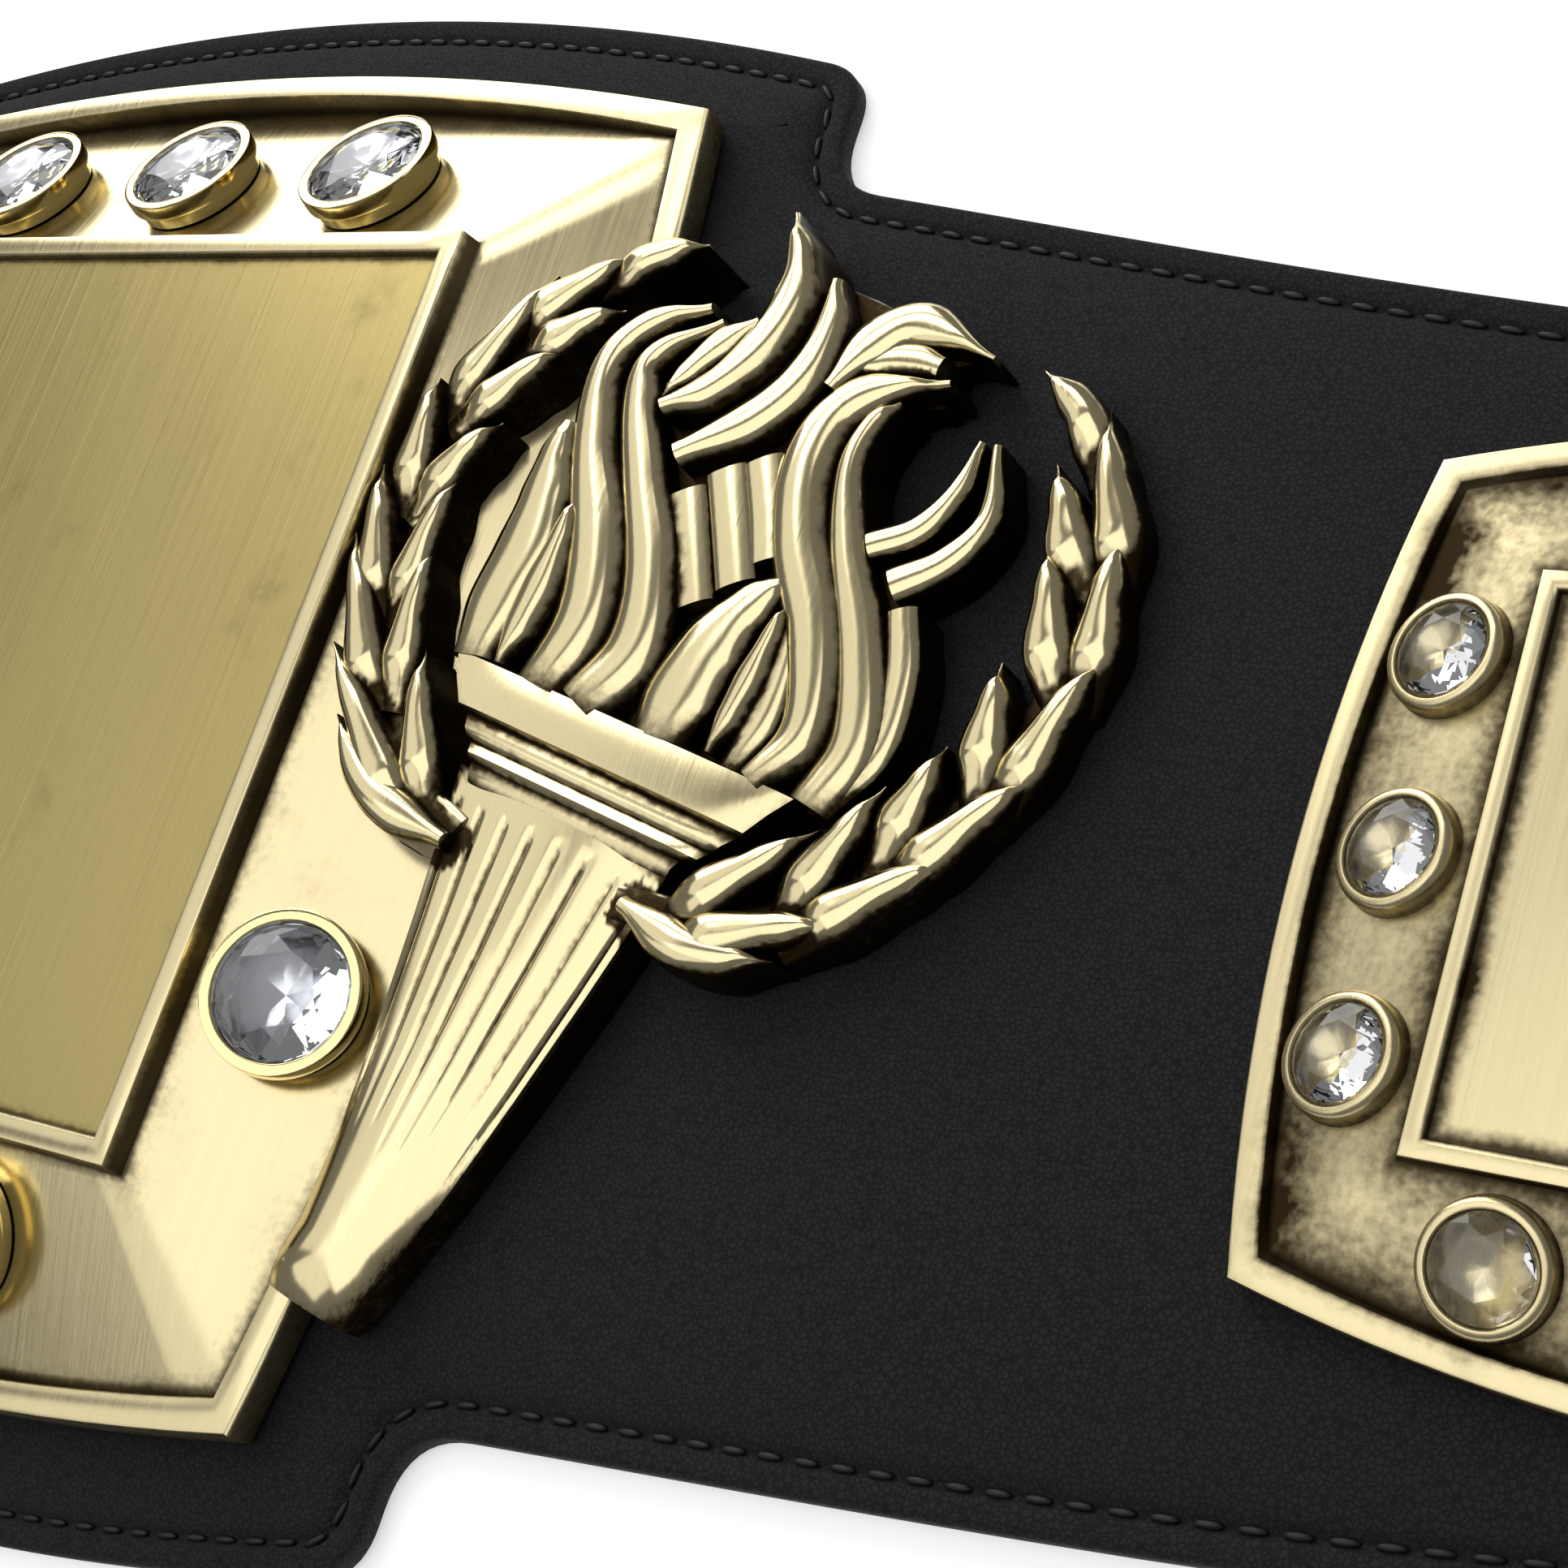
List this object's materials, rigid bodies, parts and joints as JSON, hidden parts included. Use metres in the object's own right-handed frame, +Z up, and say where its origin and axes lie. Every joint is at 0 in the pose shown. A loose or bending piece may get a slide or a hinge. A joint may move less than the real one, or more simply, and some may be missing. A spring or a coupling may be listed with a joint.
{
  "type": "championship title belt",
  "caption": "Padded leather strap with bevelled gold plates, torch and laurel castings, and cut clear stones in bezels, laid out flat; worn round the waist and closed by press studs.",
  "frame": {"origin": "on the rest plane under the middle of the main plate", "axes": "+Z up out of the face, +X along the strap to the right of the face, +Y up the face"},
  "size_m": [1.24, 0.2548, 0.0231],
  "materials": {
    "black_leather": "fine pebble grain with a soft sheen",
    "polished_gold": "brushed and polished gold plating with dark patina in the corners",
    "cast_gold": "polished cast relief with dark recesses",
    "antique_gold": "rubbed antique gold, dark in the grooves",
    "bezel_gold": "bright polished",
    "stud_gold": "polished",
    "clear_stone": "faceted and clear"
  },
  "bodies": {
    "root": {"main_bezel_bottom_1": "bezel_gold", "main_bezel_bottom_2": "bezel_gold", "main_bezel_bottom_3": "bezel_gold", "main_bezel_left": "bezel_gold", "main_bezel_right": "bezel_gold", "main_bezel_top_1": "bezel_gold", "main_bezel_top_2": "bezel_gold", "main_bezel_top_3": "bezel_gold", "main_plate": "polished_gold", "main_stone_bottom_1": "clear_stone", "main_stone_bottom_2": "clear_stone", "main_stone_bottom_3": "clear_stone", "main_stone_left": "clear_stone", "main_stone_right": "clear_stone", "main_stone_top_1": "clear_stone", "main_stone_top_2": "clear_stone", "main_stone_top_3": "clear_stone", "side_plate_left": "antique_gold", "side_plate_right": "antique_gold", "side_stone_left_bottom_1": "clear_stone", "side_stone_left_bottom_2": "clear_stone", "side_stone_left_bottom_3": "clear_stone", "side_stone_left_inner_1": "clear_stone", "side_stone_left_inner_2": "clear_stone", "side_stone_left_inner_3": "clear_stone", "side_stone_left_outer_1": "clear_stone", "side_stone_left_outer_2": "clear_stone", "side_stone_left_outer_3": "clear_stone", "side_stone_left_top_1": "clear_stone", "side_stone_left_top_2": "clear_stone", "side_stone_left_top_3": "clear_stone", "side_stone_right_bottom_1": "clear_stone", "side_stone_right_bottom_2": "clear_stone", "side_stone_right_bottom_3": "clear_stone", "side_stone_right_inner_1": "clear_stone", "side_stone_right_inner_2": "clear_stone", "side_stone_right_inner_3": "clear_stone", "side_stone_right_outer_1": "clear_stone", "side_stone_right_outer_2": "clear_stone", "side_stone_right_outer_3": "clear_stone", "side_stone_right_top_1": "clear_stone", "side_stone_right_top_2": "clear_stone", "side_stone_right_top_3": "clear_stone", "snap_1": "stud_gold", "snap_2": "stud_gold", "snap_3": "stud_gold", "snap_4": "stud_gold", "strap": "black_leather", "torch_left": "cast_gold", "torch_right": "cast_gold"}
  },
  "joints": []
}
